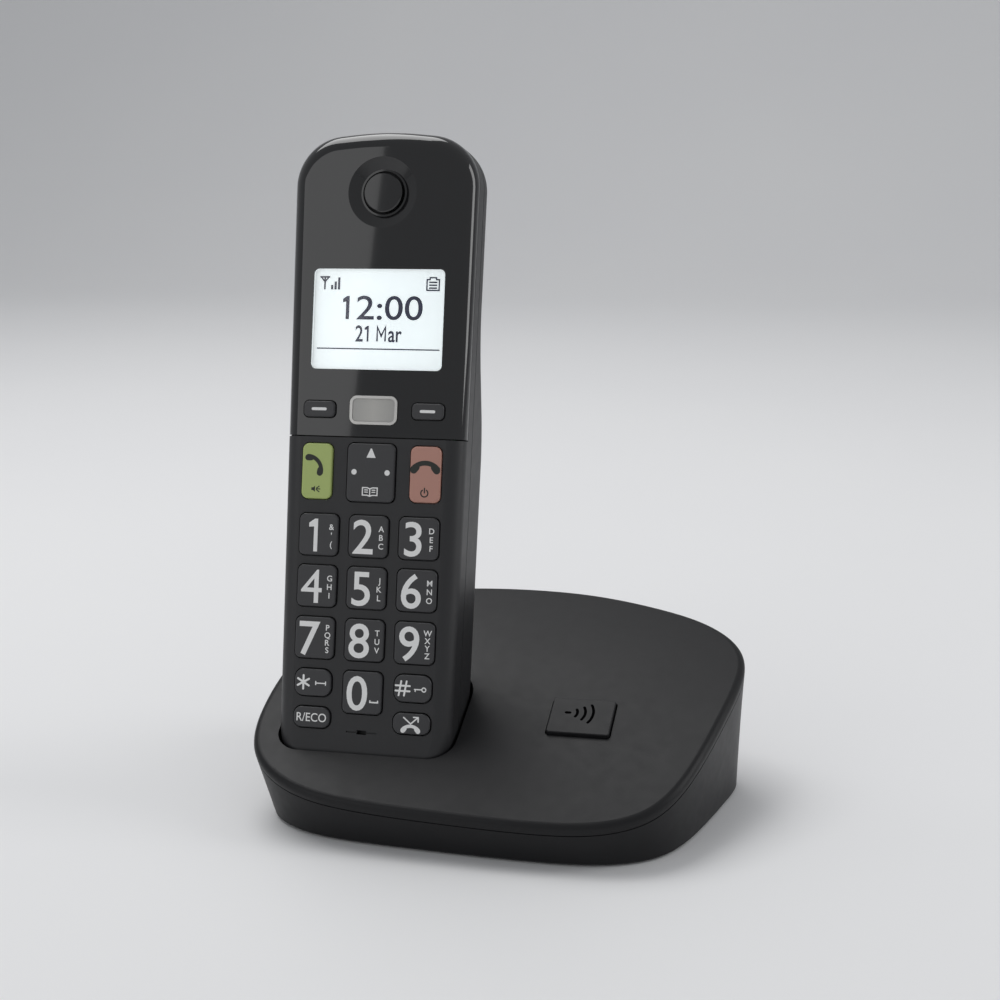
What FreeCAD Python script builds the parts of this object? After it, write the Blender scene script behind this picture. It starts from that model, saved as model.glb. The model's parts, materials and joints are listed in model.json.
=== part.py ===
import FreeCAD, Part
import Sketcher
import math
import os
import re

# Cordless phone standing in its charging base.
# Base frame: X to the right, Y to the back, Z up, origin on the table under the middle of the base.
# Handset frame: X across, Z along the handset from its lower end, Y from the face towards the back.

SIZES = dict(
    # handset outer form
    handset_width=50.0, foot_width=46.8, handset_length=174.6, top_arch=2.6, top_arch_radius=90.0,
    top_corner=13.5, bottom_corner=18.0, ear_thickness=19.5, grip_thickness=27.0,
    foot_depth=13.0, heel_height=20.0, heel_radius=30.0, waist_low=96.0, waist_high=122.0,
    waist_radius=60.0, face_round=4.5, back_round=7.5, case_wall=1.6, seam_gap=0.3,
    parting_depth=9.5, cover_split=93.7, cover_depth=4.8,
    # where the handset stands in the base
    handset_x=-31.2, seat_y=-30.5, seat_z=8.6, lean_angle=14.0,
    # keys
    key_gap=0.3, key_rise=0.8, key_round=0.45, key_travel=0.7, flange_lip=0.8, flange_thick=0.7,
    flange_gap=0.3, column_pitch=13.56, digit_width=10.7, digit_height=10.9, digit_corner=1.6,
    zero_height=11.1, sign_width=10.0, sign_height=7.1, sign_corner=2.4, service_width=10.0,
    service_height=5.5, service_corner=2.2, call_width=8.2, call_height=14.5, call_corner=1.7,
    soft_width=8.6, soft_height=4.2, soft_corner=1.3, outer_column=14.72,
    nav_width=13.0, nav_height=15.2, nav_corner=1.6, nav_flange_gap=0.75, nav_axis_depth=4.0,
    nav_ball_radius=0.95,
    row_service=20.2, row_sign=29.3, row_zero=27.4, row_seven=41.05, row_four=54.62, row_one=68.06,
    row_call=84.65, row_soft=100.93,
    # display and lamp
    window_width=35.6, window_low=111.52, window_high=137.82, window_corner=1.4, lens_thick=1.1,
    lens_gap=0.1, glass_depth=1.9, glass_width=40.0, glass_margin=2.4,
    lamp_width=11.4, lamp_height=6.0, lamp_corner=1.2, lamp_rim=0.8, lamp_rise=0.5,
    # ear end and microphone
    ear_height=157.87, dish_radius=9.3, dish_floor_radius=6.2, dish_depth=1.5, insert_radius=5.2,
    ear_slot=0.5, receiver_radius=9.6, receiver_thick=3.6, ear_pad_thick=1.3,
    mic_height=17.0, mic_radius=2.0, mic_slot_width=2.6, mic_slot_height=1.1,
    mic_groove_width=8.3, mic_groove_height=0.4, mic_groove_depth=0.4,
    # handset inside
    board_depth=5.5, board_thick=1.2, board_width=41.5, board_low=13.0, board_high=146.0,
    mat_width=40.0, mat_low=14.5, mat_high=105.0, mat_thick=1.0, nub_height=0.8, nub_radius=2.2,
    ringer_height=138.0, ringer_radius=9.0, ringer_thick=4.0, screw_x=17.0, screw_height=150.0,
    screw_radius=1.2, screw_length=11.5, screw_head=2.4, screw_head_thick=1.6, post_radius=3.2,
    # battery bay
    cell_radius=5.25, cell_length=44.5, cell_gap=0.5, bay_end=2.5, bay_wall=1.2, bay_low=35.2,
    door_width=34.0, door_low=32.0, door_high=86.0, door_thick=1.5, door_gap=0.3,
    barrel_radius=1.1, pin_radius=0.7, pin_length=1.6, pin_play=0.06,
    # charging contacts
    pad_x=11.0, pad_width=5.0, pad_front=4.6, pad_back=8.0, contact_width=2.4, contact_depth=2.2,
    contact_front=4.9, contact_tip=0.45, contact_gap=0.25, contact_travel=0.5,
    # base outer form
    base_width=128.8, base_depth=92.6, rim_front=12.0, rim_back=45.1, crown_radius=500.0,
    flare_front=0.34, flare_left=0.26, flare_right=0.07, flare_back=0.05, lid_thick=2.6,
    rim_round=1.9, base_wall=2.0, floor_low=0.4, floor_thick=1.8, base_round=0.6,
    pocket_gap=0.9, pocket_wall=1.8,
    # locator button
    page_x=24.2, page_y=-11.0, page_width=16.6, page_depth=13.4, page_rise=1.0, page_corner=0.8,
    page_gap=0.35, page_travel=0.8, page_round=0.3, page_stem_length=13.6, switch_height=4.3,
    # base inside
    base_board_x=2.0, base_board_y=-16.0, base_board_z=6.0, base_board_margin=24.1,
    base_board_back=13.0, base_board_thick=1.6, base_post_radius=3.6, base_screw_radius=1.3,
    base_screw_length=8.0, base_head_radius=2.7, foot_radius=4.5, foot_recess=0.8,
    # sockets at the back
    socket_x=8.0, socket_width=13.0, socket_height=12.0, socket_length=16.0, socket_set=3.4,
    mouth_width=9.9, mouth_height=7.0, mouth_depth=11.0,
    inlet_x=29.0, inlet_width=9.0, inlet_height=11.0, inlet_length=13.0, inlet_set=7.2,
    inlet_hole_radius=2.75, inlet_pin_radius=1.0, inlet_bore_depth=9.0, fit_gap=0.2,
)

doc = FreeCAD.newDocument("cordless_phone")
sheet = doc.addObject("Spreadsheet::Sheet", "Sizes")
for row, (alias, size) in enumerate(SIZES.items(), start=1):
    sheet.set("A%d" % row, alias)
    sheet.set("B%d" % row, str(size))
    sheet.setAlias("B%d" % row, alias)
doc.recompute()

SEAT = "placement(vector(handset_x; seat_y; seat_z); rotation(vector(1; 0; 0); -lean_angle))"
nodes = []


# ---------------------------------------------------------------- helpers

def value(formula):
    """The number that a formula on the sheet's aliases gives."""
    probe = doc.getObject("formula_probe") or doc.addObject("Part::Box", "formula_probe")
    probe.setExpression("Placement.Base.x", linked(formula))
    probe.recompute()
    return probe.Placement.Base.x


def linked(formula):
    """The formula with every alias written as a cell of the sheet."""
    return re.sub(r"[a-z_0-9]+", lambda m: "Sizes." + m[0] if m[0] in SIZES else m[0], str(formula))


def bind(feature, **formulas):
    for prop, formula in formulas.items():
        feature.setExpression(prop.replace("__", "."), linked(formula))
    return feature


def at(feature, x=0, y=0, z=0, turn="rotation(vector(1; 0; 0); 0)"):
    """Place a feature by formulas for its position and a rotation."""
    feature.setExpression("Placement", linked("placement(vector(%s; %s; %s); %s)" % (x, y, z, turn)))
    return feature


def box(name, low, high):
    """A block between two corners given as formulas."""
    block = doc.addObject("Part::Box", name)
    sides = ["(%s) - (%s)" % (b, a) for a, b in zip(low, high)]
    bind(block, Length=sides[0], Width=sides[1], Height=sides[2])
    return at(block, *low)


ALONG_Y = "rotation(vector(1; 0; 0); -90)"
ALONG_X = "rotation(vector(0; 1; 0); 90)"


def rod(name, radius, length, x=0, y=0, z=0, turn="rotation(vector(1; 0; 0); 0)"):
    cylinder = doc.addObject("Part::Cylinder", name)
    bind(cylinder, Radius=radius, Height=length)
    return at(cylinder, x, y, z, turn)


def cut(name, base, *tools):
    for index, tool in enumerate(tools):
        feature = doc.addObject("Part::Cut", name if index == len(tools) - 1 else name + "_step")
        feature.Base, feature.Tool = base, tool
        base = feature
    return base


def fuse(name, *shapes):
    feature = doc.addObject("Part::MultiFuse", name)
    feature.Shapes = list(shapes)
    feature.Refine = False
    return feature


def common(name, base, tool):
    feature = doc.addObject("Part::Common", name)
    feature.Base, feature.Tool = base, tool
    return feature


def rounded(name, base, choose):
    """Fillet each edge with the radius that choose(edge) gives it; none where that is 0."""
    doc.recompute()
    feature = doc.addObject("Part::Fillet", name)
    feature.Base = base
    picked = [(i + 1, choose(e)) for i, e in enumerate(base.Shape.Edges)]
    feature.Edges = [(i, r, r) for i, r in picked if r]
    return feature


def runs_along(edge, axis):
    size = [edge.BoundBox.XLength, edge.BoundBox.YLength, edge.BoundBox.ZLength]
    return size[axis] > 1e-4 and sum(size) - size[axis] < 1e-4


def node(label, *shapes, seated=True):
    """Name a sub-part, and stand it in the base's frame if it was made in the handset's."""
    feature = shapes[0]
    if len(shapes) > 1 or feature.TypeId in ("PartDesign::Body", "Part::Box"):
        feature = doc.addObject("Part::Compound", label)
        feature.Links = list(shapes)
    if seated:
        feature.setExpression("Placement", linked(SEAT))
    feature.Label = label
    nodes.append(feature)
    return feature


def rounded_polygon(vertices, radii):
    """Lines and tangent arcs through a closed polygon in a plane, as 3D points from its corners."""
    count = len(vertices)
    edges, ends = [], []
    for i, (corner, radius) in enumerate(zip(vertices, radii)):
        before = (vertices[i - 1] - corner).normalize()
        after = (vertices[(i + 1) % count] - corner).normalize()
        if radius <= 0:
            ends.append((corner, corner, None))
            continue
        half = before.getAngle(after) / 2
        reach = radius / math.tan(half)
        middle = (before + after).normalize()
        centre = corner + middle * (radius / math.sin(half))
        ends.append((corner + before * reach, corner + after * reach, centre - middle * radius))
    for i, (start, stop, top) in enumerate(ends):
        if top is not None:
            edges.append(Part.Arc(start, top, stop).toShape())
        following = ends[(i + 1) % count][0]
        if stop.distanceToPoint(following) > 1e-4:
            edges.append(Part.LineSegment(stop, following).toShape())
    return Part.Wire(Part.__sortEdges__(edges))


def inset_polygon(points, radii, inset):
    """The polygon moved inwards by inset, with the radii that keep its arcs concentric."""
    count = len(points)
    area = sum(points[i - 1][0] * points[i][1] - points[i][0] * points[i - 1][1] for i in range(count))
    side = 1 if area > 0 else -1
    moved, new_radii = [], []
    for i, (px, pz) in enumerate(points):
        ax, az = points[i - 1]
        bx, bz = points[(i + 1) % count]
        ux, uz = px - ax, pz - az
        vx, vz = bx - px, bz - pz
        lu, lv = math.hypot(ux, uz), math.hypot(vx, vz)
        ux, uz, vx, vz = ux / lu, uz / lu, vx / lv, vz / lv
        turn = (ux * vz - uz * vx) * side
        share = inset / (1 + ux * vx + uz * vz)
        moved.append((px - (uz + vz) * side * share, pz + (ux + vx) * side * share))
        new_radii.append(max(0.0, radii[i] - inset if turn > 0 else radii[i] + inset) if radii[i] else 0.0)
    return moved, new_radii


def wire(name, shape):
    feature = doc.addObject("Part::Feature", name)
    feature.Shape = shape
    return feature


def extruded(name, profile, direction, length):
    feature = doc.addObject("Part::Extrusion", name)
    feature.Base = profile
    feature.DirMode = "Custom"
    feature.Dir = FreeCAD.Vector(*direction)
    feature.Solid = True
    bind(feature, LengthFwd=length)
    return feature


def turned(name, profile, turn=None, x=0, y=0, z=0):
    """A PartDesign body revolved about its Z axis from (radius, height) formulas."""
    body = doc.addObject("PartDesign::Body", name)
    plane = [f for f in body.Origin.OriginFeatures if f.Role == "XZ_Plane"][0]
    sketch = body.newObject("Sketcher::SketchObject", name + "_profile")
    sketch.AttachmentSupport = [(plane, "")]
    sketch.MapMode = "FlatFace"
    points = [(value(r), value(h)) for r, h in profile]
    count = len(points)
    for i in range(count):
        a, b = points[i], points[(i + 1) % count]
        sketch.addGeometry(Part.LineSegment(FreeCAD.Vector(*a, 0), FreeCAD.Vector(*b, 0)), False)
    for i in range(count):
        sketch.addConstraint(Sketcher.Constraint("Coincident", i, 2, (i + 1) % count, 1))
    for i, (radius, height) in enumerate(profile):
        for kind, formula, number, axis in (("DistanceX", radius, points[i][0], -2),
                                            ("DistanceY", height, points[i][1], -1)):
            if abs(number) < 1e-9:
                sketch.addConstraint(Sketcher.Constraint("PointOnObject", i, 1, axis))
                continue
            index = sketch.addConstraint(Sketcher.Constraint(kind, -1, 1, i, 1, number))
            sketch.setExpression("Constraints[%d]" % index, linked(formula))
    revolution = body.newObject("PartDesign::Revolution", name + "_turn")
    revolution.Profile = sketch
    revolution.ReferenceAxis = (sketch, ["V_Axis"])
    revolution.Angle = 360
    at(body, x, y, z, turn or "rotation(vector(1; 0; 0); 0)")
    return body


# ---------------------------------------------------------------- handset outer form

def handset_form(name, inset):
    """The handset's outer form moved inwards by inset: front outline crossed with side profile."""
    s = SIZES
    half, foot_half = s["handset_width"] / 2, s["foot_width"] / 2
    long = s["handset_length"]
    shoulder = long - s["top_arch"]
    outline = [(-foot_half, 0), (foot_half, 0), (half, shoulder), (0, long), (-half, shoulder)]
    corners = [s["bottom_corner"], s["bottom_corner"], s["top_corner"], s["top_arch_radius"], s["top_corner"]]
    outline, corners = inset_polygon(outline, corners, inset)
    front = rounded_polygon([FreeCAD.Vector(x, inset, z) for x, z in outline], corners)
    slab = extruded(name + "_slab", wire(name + "_outline", front), (0, 1, 0),
                    "grip_thickness - 2 * (%s)" % inset)
    side = [(0, 0), (s["foot_depth"], 0), (s["grip_thickness"], s["heel_height"]),
            (s["grip_thickness"], s["waist_low"]), (s["ear_thickness"], s["waist_high"]),
            (s["ear_thickness"], long + 1), (0, long + 1)]
    bends = [0, 0, s["heel_radius"], s["waist_radius"], s["waist_radius"], 0, 0]
    side, bends = inset_polygon(side, bends, inset)
    profile = rounded_polygon([FreeCAD.Vector(-half - 6, y, z) for y, z in side], bends)
    band = extruded(name + "_band", wire(name + "_profile", profile), (1, 0, 0), "handset_width + 12")
    crossed = common(name + "_crossed", slab, band)
    doc.recompute()
    front_round = s["face_round"] - inset
    back_round = s["back_round"] - inset
    front_plane = inset

    def edge_radius(edge):
        box_ = edge.BoundBox
        if box_.YMax < front_plane + 0.01:
            return front_round
        on_outline = [f for f in crossed.Shape.ancestorsOfType(edge, Part.Face)]
        normals = []
        for face in on_outline:
            u, v = face.Surface.parameter(edge.valueAt((edge.FirstParameter + edge.LastParameter) / 2))
            normals.append(face.normalAt(u, v))
        if len(normals) == 2 and normals[0].getAngle(normals[1]) > math.radians(8):
            return back_round
        return 0

    return rounded(name, crossed, edge_radius)


outer = handset_form("handset_outer", 0.0)
inner = handset_form("handset_inner", SIZES["case_wall"])
TALL = "handset_length + 5"
HALF = "(handset_width / 2 + 5)"


def outer_copy(name, low, high):
    """The part of the handset's outer form that lies between two corners."""
    return common(name, outer, box(name + "_zone", low, high))


# ---------------------------------------------------------------- keys

DIGIT = ("digit_width", "digit_height", "digit_corner")
ZERO = ("digit_width", "zero_height", "digit_corner")
SIGN = ("sign_width", "sign_height", "sign_corner")
SERVICE = ("service_width", "service_height", "service_corner")
CALL = ("call_width", "call_height", "call_corner")
SOFT = ("soft_width", "soft_height", "soft_corner")
KEYS = {
    "key_1": ("-column_pitch", "row_one", DIGIT),
    "key_2": ("0", "row_one", DIGIT),
    "key_3": ("column_pitch", "row_one", DIGIT),
    "key_4": ("-column_pitch", "row_four", DIGIT),
    "key_5": ("0", "row_four", DIGIT),
    "key_6": ("column_pitch", "row_four", DIGIT),
    "key_7": ("-column_pitch", "row_seven", DIGIT),
    "key_8": ("0", "row_seven", DIGIT),
    "key_9": ("column_pitch", "row_seven", DIGIT),
    "key_star": ("-column_pitch", "row_sign", SIGN),
    "key_0": ("0", "row_zero", ZERO),
    "key_hash": ("column_pitch", "row_sign", SIGN),
    "key_recall": ("-column_pitch", "row_service", SERVICE),
    "key_block": ("column_pitch", "row_service", SERVICE),
    "key_talk": ("-outer_column", "row_call", CALL),
    "key_off": ("outer_column", "row_call", CALL),
    "soft_key_left": ("-outer_column", "row_soft", SOFT),
    "soft_key_right": ("outer_column", "row_soft", SOFT),
}
NAV = ("0", "row_call", ("nav_width", "nav_height", "nav_corner"))


def plate_block(name, x, z, size, grow, front, back):
    """A block on the face with rounded corners, size = (width, height, corner radius) plus grow all round."""
    width, height, corner = size
    low = ("%s - %s / 2 - %s" % (x, width, grow), front, "%s - %s / 2 - %s" % (z, height, grow))
    high = ("%s + %s / 2 + %s" % (x, width, grow), back, "%s + %s / 2 + %s" % (z, height, grow))
    block = box(name + "_block", low, high)
    radius = value("%s + %s" % (corner, grow))
    return rounded(name, block, lambda edge: radius if runs_along(edge, 1) else 0)


def key(label, x, z, size, gap):
    """A key cap with rounded top edges, and the lip under the case that keeps it in."""
    cap_low = "case_wall + " + gap
    column = plate_block(label + "_cap", x, z, size, "0", "-key_rise", cap_low)
    doc.recompute()
    top = value("-key_rise") + 1e-4
    cap = rounded(label + "_top", column, lambda edge: SIZES["key_round"] if edge.BoundBox.YMax < top else 0)
    lip = plate_block(label + "_lip", x, z, size, "flange_lip", cap_low, cap_low + " + flange_thick")
    return node(label, fuse(label, cap, lip))


key_holes, cover_holes, nubs = [], [], []
for label, (x, z, size) in KEYS.items():
    key(label, x, z, size, "flange_gap")
    hole = plate_block(label + "_hole", x, z, size, "key_gap", "-2", "case_wall + 1")
    (cover_holes if label.startswith("soft") else key_holes).append(hole)
    nubs.append(rod(label + "_nub", "nub_radius", "nub_height + mat_thick / 2", x,
                    "board_depth - mat_thick - nub_height", z, ALONG_Y))
key("nav_key", NAV[0], NAV[1], NAV[2], "nav_flange_gap")
key_holes.append(plate_block("nav_hole", NAV[0], NAV[1], NAV[2], "key_gap", "-2", "case_wall + 1"))
nav_ball = doc.addObject("Part::Sphere", "nav_ball")
bind(nav_ball, Radius="nav_ball_radius")
at(nav_ball, "0", "nav_axis_depth", "row_call")
nav_stem = rod("nav_stem", "nav_ball_radius * 0.6", "board_depth - seam_gap - nav_axis_depth",
               "0", "nav_axis_depth", "row_call", ALONG_Y)
node("nav_pivot", fuse("nav_pivot", nav_ball, nav_stem))

# ---------------------------------------------------------------- front case

pad_blanks = [box("pad_blank_" + side, ("%s pad_x - pad_width / 2" % sign, "pad_front", "-1"),
                  ("%s pad_x + pad_width / 2" % sign, "pad_back", "4"))
              for side, sign in (("left", "-"), ("right", ""))]
pad_blank = fuse("pad_blanks", *pad_blanks)
mic_slot = box("mic_slot", ("-mic_slot_width / 2", "-2", "mic_height - mic_slot_height / 2"),
               ("mic_slot_width / 2", "case_wall + 1", "mic_height + mic_slot_height / 2"))
mic_groove = box("mic_groove", ("-mic_groove_width / 2", "-2", "mic_height - mic_groove_height / 2"),
                 ("mic_groove_width / 2", "mic_groove_depth", "mic_height + mic_groove_height / 2"))
cover_seat = box("cover_seat", ("-" + HALF, "-2", "cover_split"), (HALF, "cover_depth + seam_gap", TALL))
front_blank = outer_copy("front_blank", ("-" + HALF, "-2", "-2"), (HALF, "parting_depth", TALL))
front_holes = fuse("front_holes", *key_holes)
node("front_case", cut("front_case", front_blank, inner, cover_seat, front_holes, mic_slot, mic_groove, pad_blank))
node("charge_pads", cut("charge_pads", common("pad_skins", outer, pad_blank), inner))

# ---------------------------------------------------------------- glossy cover, window, lamp, ear end

window_size = ("window_width", "(window_high - window_low)", "window_corner")
window_z = "(window_high + window_low) / 2"
window_hole = plate_block("window_hole", "0", window_z, window_size, "0", "-2", "case_wall + 1")
lamp_size = ("lamp_width", "lamp_height", "lamp_corner")
lamp_hole = plate_block("lamp_hole", "0", "row_soft", lamp_size, "lamp_rim", "-2", "case_wall + 1")
dish = doc.addObject("Part::Cone", "ear_dish")
bind(dish, Radius1="dish_radius", Radius2="dish_floor_radius", Height="dish_depth")
at(dish, "0", "0", "ear_height", ALONG_Y)
ear_hole = rod("ear_hole", "insert_radius + ear_slot", "10", "0", "-2", "ear_height", ALONG_Y)
ear_pad = rod("ear_pad", "dish_radius + 1.2", "ear_pad_thick + 0.1", "0", "case_wall - 0.1", "ear_height", ALONG_Y)
cover_posts = [rod("cover_post_" + side, "post_radius", "parting_depth - case_wall + 0.1", sign + "screw_x",
                   "case_wall - 0.1", "screw_height", ALONG_Y) for side, sign in (("left", "-"), ("right", ""))]
cover_bores = [rod("cover_bore_" + side, "screw_radius + pin_play", "parting_depth", sign + "screw_x",
                   "case_wall + 2", "screw_height", ALONG_Y) for side, sign in (("left", "-"), ("right", ""))]
cover_blank = outer_copy("cover_blank", ("-" + HALF, "-2", "cover_split + seam_gap"), (HALF, "cover_depth", TALL))
cover_shell = cut("cover_shell", cover_blank, inner)
cover_whole = fuse("cover_whole", cover_shell, ear_pad, *cover_posts)
cover_cuts = fuse("cover_cuts", window_hole, lamp_hole, ear_hole, *cover_holes)
node("display_cover", cut("display_cover", cover_whole, cover_cuts, dish, *cover_bores))
lens_size = ("(window_width - 2 * lens_gap)", "(window_high - window_low - 2 * lens_gap)", "window_corner")
node("display_lens", plate_block("display_lens", "0", window_z, lens_size, "0", "0", "lens_thick"))
node("lcd_module", box("lcd_block", ("-glass_width / 2", "glass_depth", "window_low - glass_margin"),
                       ("glass_width / 2", "board_depth", "window_high + glass_margin")))
lamp_outer = plate_block("lamp_outer", "0", "row_soft", lamp_size, "(lamp_rim - 0.05)", "-lamp_rise", "case_wall + 0.6")
lamp_inner = plate_block("lamp_inner", "0", "row_soft", lamp_size, "0", "-2", "case_wall + 2")
node("lamp_frame", cut("lamp_frame", lamp_outer, lamp_inner))
lamp_cap = plate_block("lamp_cap", "0", "row_soft", lamp_size, "-0.05", "-lamp_rise + 0.15", "board_depth - mat_thick")
node("lamp_lens", lamp_cap)


def disc(name, radius, thick, chamfer):
    """Half section of a disc with broken edges."""
    return [("0", "0"), ("%s - %s" % (radius, chamfer), "0"), (radius, chamfer),
            (radius, "%s - %s" % (thick, chamfer)), ("%s - %s" % (radius, chamfer), thick), ("0", thick)]


insert_thick = "case_wall + ear_pad_thick - 0.25"
node("earpiece_insert", turned("insert_body", disc("insert", "insert_radius", insert_thick, "0.3"), ALONG_Y,
                               "0", "0.25", "ear_height"))
node("receiver", turned("receiver_body", disc("receiver", "receiver_radius", "receiver_thick", "0.4"), ALONG_Y,
                        "0", "case_wall + ear_pad_thick", "ear_height"))
node("microphone", turned("mic_body", disc("mic", "mic_radius", "board_depth - case_wall - seam_gap", "0.2"),
                          ALONG_Y, "0", "case_wall + seam_gap", "mic_height"))
node("ringer", turned("ringer_body", disc("ringer", "ringer_radius", "ringer_thick", "0.5"), ALONG_Y, "0",
                      "ear_thickness - case_wall - ringer_thick - 0.1", "ringer_height"))

# ---------------------------------------------------------------- board and keypad mat

board = box("board_plate", ("-board_width / 2", "board_depth", "board_low"),
            ("board_width / 2", "board_depth + board_thick", "board_high"))
chips = [box("chip_%d" % i, (x, "board_depth + board_thick - 0.1", z),
             (x + " + " + wide, "board_depth + board_thick + " + tall, z + " + " + high))
         for i, (x, z, wide, high, tall) in enumerate((
             ("-8", "92", "10", "10", "1.4"), ("6", "96", "7", "5", "1.2"), ("-17", "108", "6", "12", "2.2"),
             ("-9", "116", "18", "9", "3.2"), ("11", "112", "4", "7", "1.6"), ("-14", "20", "5", "4", "1.8")))]
node("handset_board", fuse("handset_board", board, *chips))
mat_plate = box("mat_plate", ("-mat_width / 2", "board_depth - mat_thick", "mat_low"),
                ("mat_width / 2", "board_depth", "mat_high"))
mat_whole = fuse("mat_whole", mat_plate, *nubs)
mat_openings = [rod("nav_opening", "nav_ball_radius + 1", "10", "0", "0", "row_call", ALONG_Y),
                rod("mic_opening", "mic_radius + 0.3", "10", "0", "0", "mic_height", ALONG_Y)]
node("keypad_mat", cut("keypad_mat", mat_whole, *mat_openings))

# ---------------------------------------------------------------- battery bay, door and rear case

WELL = "(2 * cell_radius + cell_gap)"
CELL_Y = "(grip_thickness - door_thick - cell_gap - cell_radius)"
BAY_HIGH = "(bay_low + cell_length + 2 * bay_end)"
SHELF = "(grip_thickness - door_thick - door_gap)"
HINGE_Y = "(grip_thickness - barrel_radius)"


def across(name, radius, half_length, y, z):
    """A rod along X, the same length to each side of the handset's middle."""
    return rod(name, radius, "2 * (%s)" % half_length, "-(%s)" % half_length, y, z, ALONG_X)


rear_blank = outer_copy("rear_blank", ("-" + HALF, "parting_depth + seam_gap", "-2"), (HALF, "grip_thickness + 5", TALL))
rear_shell = cut("rear_shell", rear_blank, inner)
shelf_plate = box("bay_shelf", ("-door_width / 2 - 3.2", SHELF + " - 1.6", "door_low - 4"),
                  ("door_width / 2 + 3.2", "grip_thickness - case_wall + 0.1", "door_high + 2.5"))
well_block = box("bay_block", ("-%s - bay_wall" % WELL, CELL_Y + " - cell_radius - 0.3 - bay_wall", "bay_low - bay_wall"),
                 (WELL + " + bay_wall", SHELF, BAY_HIGH + " + bay_wall"))
rear_posts = [rod("rear_post_" + side, "post_radius", "ear_thickness - parting_depth - 2 * seam_gap - 1", sign + "screw_x",
                  "parting_depth + 2 * seam_gap", "screw_height", ALONG_Y) for side, sign in (("left", "-"), ("right", ""))]
rear_whole = fuse("rear_whole", rear_shell, shelf_plate, well_block, *rear_posts)
well = box("bay_well", ("-" + WELL, CELL_Y + " - cell_radius - 0.3", "bay_low"), (WELL, "grip_thickness + 5", BAY_HIGH))
door_seat = plate_block("door_seat", "0", "(door_low + door_high) / 2",
                        ("door_width", "(door_high - door_low)", "1.2"), "door_gap", SHELF, "grip_thickness + 5")
barrel_seat = across("barrel_seat", "barrel_radius + door_gap", "door_width / 2 + door_gap", HINGE_Y, "door_low")
pin_holes = across("pin_holes", "pin_radius + pin_play", "door_width / 2 + pin_length + 0.3", HINGE_Y, "door_low")
ringer_slots = [box("ringer_slot_%d" % i, ("-6", "ear_thickness - case_wall - 1", "ringer_height - 0.6 + %d * 2.6" % i),
                    ("6", "ear_thickness + 5", "ringer_height + 0.6 + %d * 2.6" % i)) for i in (-2, -1, 0, 1, 2)]
screw_bores = [rod("rear_bore_" + side, "screw_radius + pin_play", "20", sign + "screw_x", "parting_depth",
                   "screw_height", ALONG_Y) for side, sign in (("left", "-"), ("right", ""))]
screw_seats = [rod("rear_sink_" + side, "screw_head + 0.15", "10", sign + "screw_x",
                   "ear_thickness - screw_head_thick - 0.3", "screw_height", ALONG_Y)
               for side, sign in (("left", "-"), ("right", ""))]
rear_cuts = fuse("rear_cuts", well, door_seat, barrel_seat, pin_holes, *ringer_slots)
node("rear_case", cut("rear_case", rear_whole, rear_cuts, *screw_bores, *screw_seats))

door_plate = plate_block("door_plate", "0", "(door_low + door_high) / 2",
                         ("door_width", "(door_high - door_low)", "1"), "0",
                         "grip_thickness - door_thick", "grip_thickness")
grips = [box("door_grip_%d" % i, ("-8", "grip_thickness - 0.5", "door_high - 5 - %d * 2.4" % i),
             ("8", "grip_thickness + 1", "door_high - 4 - %d * 2.4" % i)) for i in range(4)]
door_lean = cut("door_trimmed", door_plate, box("door_trim", ("-" + HALF, "0", "0"), (HALF, "40", "door_low")), *grips)
door_barrel = across("door_barrel", "barrel_radius", "door_width / 2", HINGE_Y, "door_low")
door_pin = across("door_pin", "pin_radius", "door_width / 2 + pin_length", HINGE_Y, "door_low")
node("battery_door", fuse("battery_door", door_lean, door_barrel, door_pin))

CELL = [("0", "0"), ("cell_radius - 0.4", "0"), ("cell_radius", "0.4"), ("cell_radius", "cell_length - 1.6"),
        ("cell_radius - 0.4", "cell_length - 1.2"), ("1.9", "cell_length - 1.2"), ("1.9", "cell_length"),
        ("0", "cell_length")]
HEAD_DOWN = "rotation(vector(1; 0; 0); 180)"
node("battery_cell_a", turned("cell_a_body", CELL, None, "-cell_radius - cell_gap / 2", CELL_Y, "bay_low + bay_end"))
node("battery_cell_b", turned("cell_b_body", CELL, HEAD_DOWN, "cell_radius + cell_gap / 2", CELL_Y,
                              "bay_low + bay_end + cell_length"))


def bay_contact(name, sign, end, inward, spring):
    """A contact plate on a bay end wall, with a spring or a button that reaches to its cell."""
    x = "%s (cell_radius + cell_gap / 2)" % sign
    low, high = (end, end + " + 0.4") if inward > 0 else (end + " - 0.4", end)
    plate = box(name + "_plate", (x + " - 4", CELL_Y + " - 4", low), (x + " + 4", CELL_Y + " + 4", high))
    reach = doc.addObject("Part::Cone", name + "_reach")
    wide, narrow = ("3.4", "2.2") if spring else ("2.2", "1.6")
    bind(reach, Radius1=wide if inward > 0 else narrow, Radius2=narrow if inward > 0 else wide, Height="bay_end - 0.1")
    at(reach, x, CELL_Y, end if inward > 0 else end + " - bay_end + 0.1")
    return fuse(name, plate, reach)


node("battery_contacts", bay_contact("contact_a_minus", "-", "bay_low", 1, True),
     bay_contact("contact_a_plus", "-", BAY_HIGH, -1, False), bay_contact("contact_b_plus", "", "bay_low", 1, False),
     bay_contact("contact_b_minus", "", BAY_HIGH, -1, True))

SCREW = [("0", "0"), ("screw_radius", "0"), ("screw_radius", "screw_length"), ("screw_head", "screw_length"),
         ("screw_head", "screw_length + screw_head_thick"), ("0.8", "screw_length + screw_head_thick"),
         ("0.8", "screw_length + screw_head_thick - 0.9"), ("0", "screw_length + screw_head_thick - 0.9")]
node("case_screws", *[turned("case_screw_" + side, SCREW, ALONG_Y, sign + "screw_x",
                             "ear_thickness - screw_head_thick - 0.3 - screw_length", "screw_height")
                      for side, sign in (("left", "-"), ("right", ""))])

# ---------------------------------------------------------------- base outer form

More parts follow.
